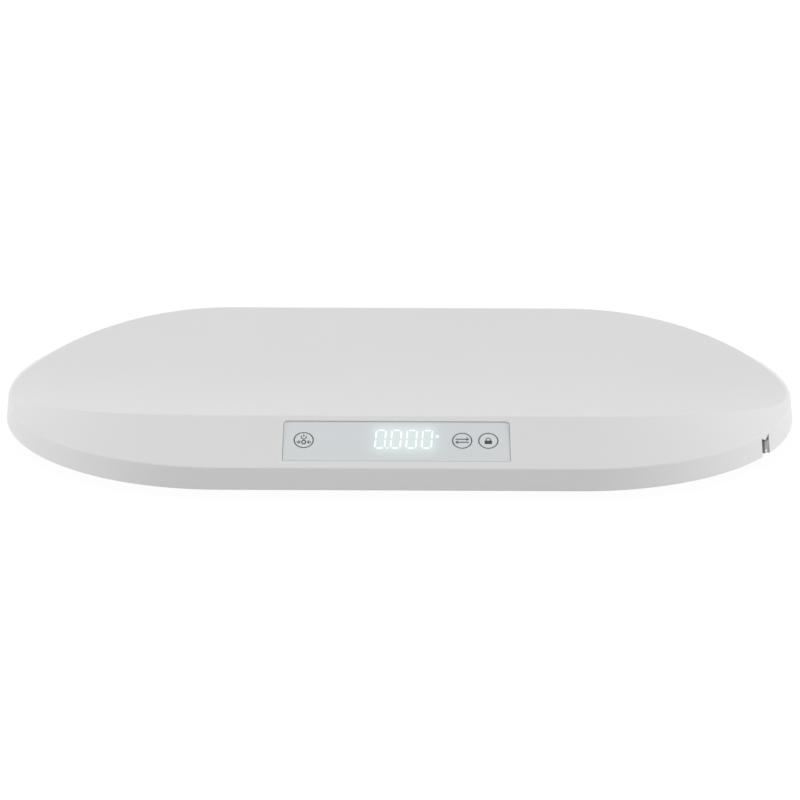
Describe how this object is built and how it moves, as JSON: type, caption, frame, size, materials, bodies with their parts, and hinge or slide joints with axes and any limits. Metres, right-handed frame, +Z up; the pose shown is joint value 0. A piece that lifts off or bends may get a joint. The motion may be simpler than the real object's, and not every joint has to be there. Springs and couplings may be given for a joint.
{
  "type": "digital baby weighing scale",
  "caption": "Low stadium-shaped electronic baby scale with a long curved tray, sloping control panel with display and keys, and a pull-out measuring tape.",
  "frame": {"origin": "on the ground, under the middle of the scale", "axes": "+X along the tray to the right of someone who reads the display, -Y towards that person, +Z up"},
  "size_m": [0.5518, 0.3078, 0.0461],
  "materials": {
    "shell": "white moulded ABS with a fine satin gloss",
    "cover": "white moulded ABS, finely textured",
    "panel": "smooth translucent cool grey-white panel",
    "key_cap": "smooth, flush with the panel, dark printed ring",
    "diffuser": "milky film",
    "light_bar": "clear resin, lit cool white",
    "display_body": "pale reflector block",
    "circuit_board": "green solder mask",
    "chip_black": "black moulded package",
    "socket_nylon": "natural nylon",
    "gauge_film": "amber film",
    "screw_steel": "zinc plated",
    "cell_steel": "plain rolled steel",
    "spring_steel": "blued spring strip",
    "contact_metal": "nickel plated",
    "battery_wrap": "plain wrapped cell",
    "inner_plastic": "natural grey acetal",
    "carrier_plastic": "glass-filled nylon",
    "foot_rubber": "soft grey rubber",
    "tape_cloth": "coated cloth tape",
    "tab_plastic": "mid grey plastic",
    "rivet_bright": "bright pressed rivet"
  },
  "bodies": {
    "housing": {"top_shell": "shell", "bottom_cover": "cover", "housing_screws": "screw_steel", "panel_lens": "panel", "display_diffuser": "diffuser", "display_segments": "light_bar", "display_module": "display_body", "main_board": "circuit_board", "board_screws": "screw_steel", "board_chips": "chip_black", "wire_sockets": "socket_nylon", "tact_switches": "chip_black", "strain_gauges": "gauge_film", "cell_screws": "screw_steel", "foot_rivets": "screw_steel", "batteries": "battery_wrap", "battery_contacts": "contact_metal", "battery_springs": "contact_metal", "tape_case": "inner_plastic", "tape_case_lid": "inner_plastic", "tape_guide": "inner_plastic", "return_spring": "spring_steel", "foot_pad_front_left": "foot_rubber", "foot_carrier_front_left": "carrier_plastic", "load_cell_front_left": "cell_steel", "foot_pad_front_right": "foot_rubber", "foot_carrier_front_right": "carrier_plastic", "load_cell_front_right": "cell_steel", "foot_pad_rear_left": "foot_rubber", "foot_carrier_rear_left": "carrier_plastic", "load_cell_rear_left": "cell_steel", "foot_pad_rear_right": "foot_rubber", "foot_carrier_rear_right": "carrier_plastic", "load_cell_rear_right": "cell_steel"},
    "tare_key": {"tare_key": "key_cap", "tare_plunger": "inner_plastic"},
    "unit_key": {"unit_key": "key_cap", "unit_plunger": "inner_plastic"},
    "hold_key": {"hold_key": "key_cap", "hold_plunger": "inner_plastic"},
    "battery_door": {"battery_door": "cover"},
    "tape_end": {"tape_tab": "tab_plastic", "tab_rivet": "rivet_bright", "tape_stage_1": "tape_cloth"},
    "tape_stage_2": {"tape_stage_2": "tape_cloth"},
    "tape_stage_3": {"tape_stage_3": "tape_cloth"},
    "tape_stage_4": {"tape_stage_4": "tape_cloth"},
    "reel": {"tape_reel": "inner_plastic", "tape_coil": "tape_cloth"}
  },
  "joints": [
    {"name": "tare_press", "type": "slide", "parent": "housing", "child": "tare_key", "axis": [0, 0.5185, -0.8551], "range_m": [0, 0.0005], "stiffness_N_per_m": 1500, "springref_m": -0.0003},
    {"name": "unit_press", "type": "slide", "parent": "housing", "child": "unit_key", "axis": [0, 0.5185, -0.8551], "range_m": [0, 0.0005], "stiffness_N_per_m": 1500, "springref_m": -0.0003},
    {"name": "hold_press", "type": "slide", "parent": "housing", "child": "hold_key", "axis": [0, 0.5185, -0.8551], "range_m": [0, 0.0005], "stiffness_N_per_m": 1500, "springref_m": -0.0003},
    {"name": "battery_door_hinge", "type": "hinge", "parent": "housing", "child": "battery_door", "pos_m": [-0.045, 0.08325, 0.009], "axis": [1, 0, 0], "range_deg": [0, 95]},
    {"name": "tape_pull", "type": "slide", "parent": "housing", "child": "tape_end", "axis": [0.8434, -0.5373, 0], "range_m": [0, 1], "stiffness_N_per_m": 1, "springref_m": -1},
    {"name": "tape_stage_2_slide", "type": "slide", "parent": "housing", "child": "tape_stage_2", "axis": [0.8434, -0.5373, 0], "range_m": [0, 0.75]},
    {"name": "tape_stage_3_slide", "type": "slide", "parent": "housing", "child": "tape_stage_3", "axis": [0.8434, -0.5373, 0], "range_m": [0, 0.5]},
    {"name": "tape_stage_4_slide", "type": "slide", "parent": "housing", "child": "tape_stage_4", "axis": [0.8434, -0.5373, 0], "range_m": [0, 0.25]},
    {"name": "reel_spin", "type": "hinge", "parent": "housing", "child": "reel", "pos_m": [0.20433, -0.03455, 0.0136], "axis": [0, 0, 1], "range_deg": [0, 4100]}
  ],
  "couplings": [
    {"joint": "tape_stage_2_slide", "follows": "tape_pull", "ratio": 0.75},
    {"joint": "tape_stage_3_slide", "follows": "tape_pull", "ratio": 0.5},
    {"joint": "tape_stage_4_slide", "follows": "tape_pull", "ratio": 0.25},
    {"joint": "reel_spin", "follows": "tape_pull", "rad_per_m": 71.429}
  ]
}
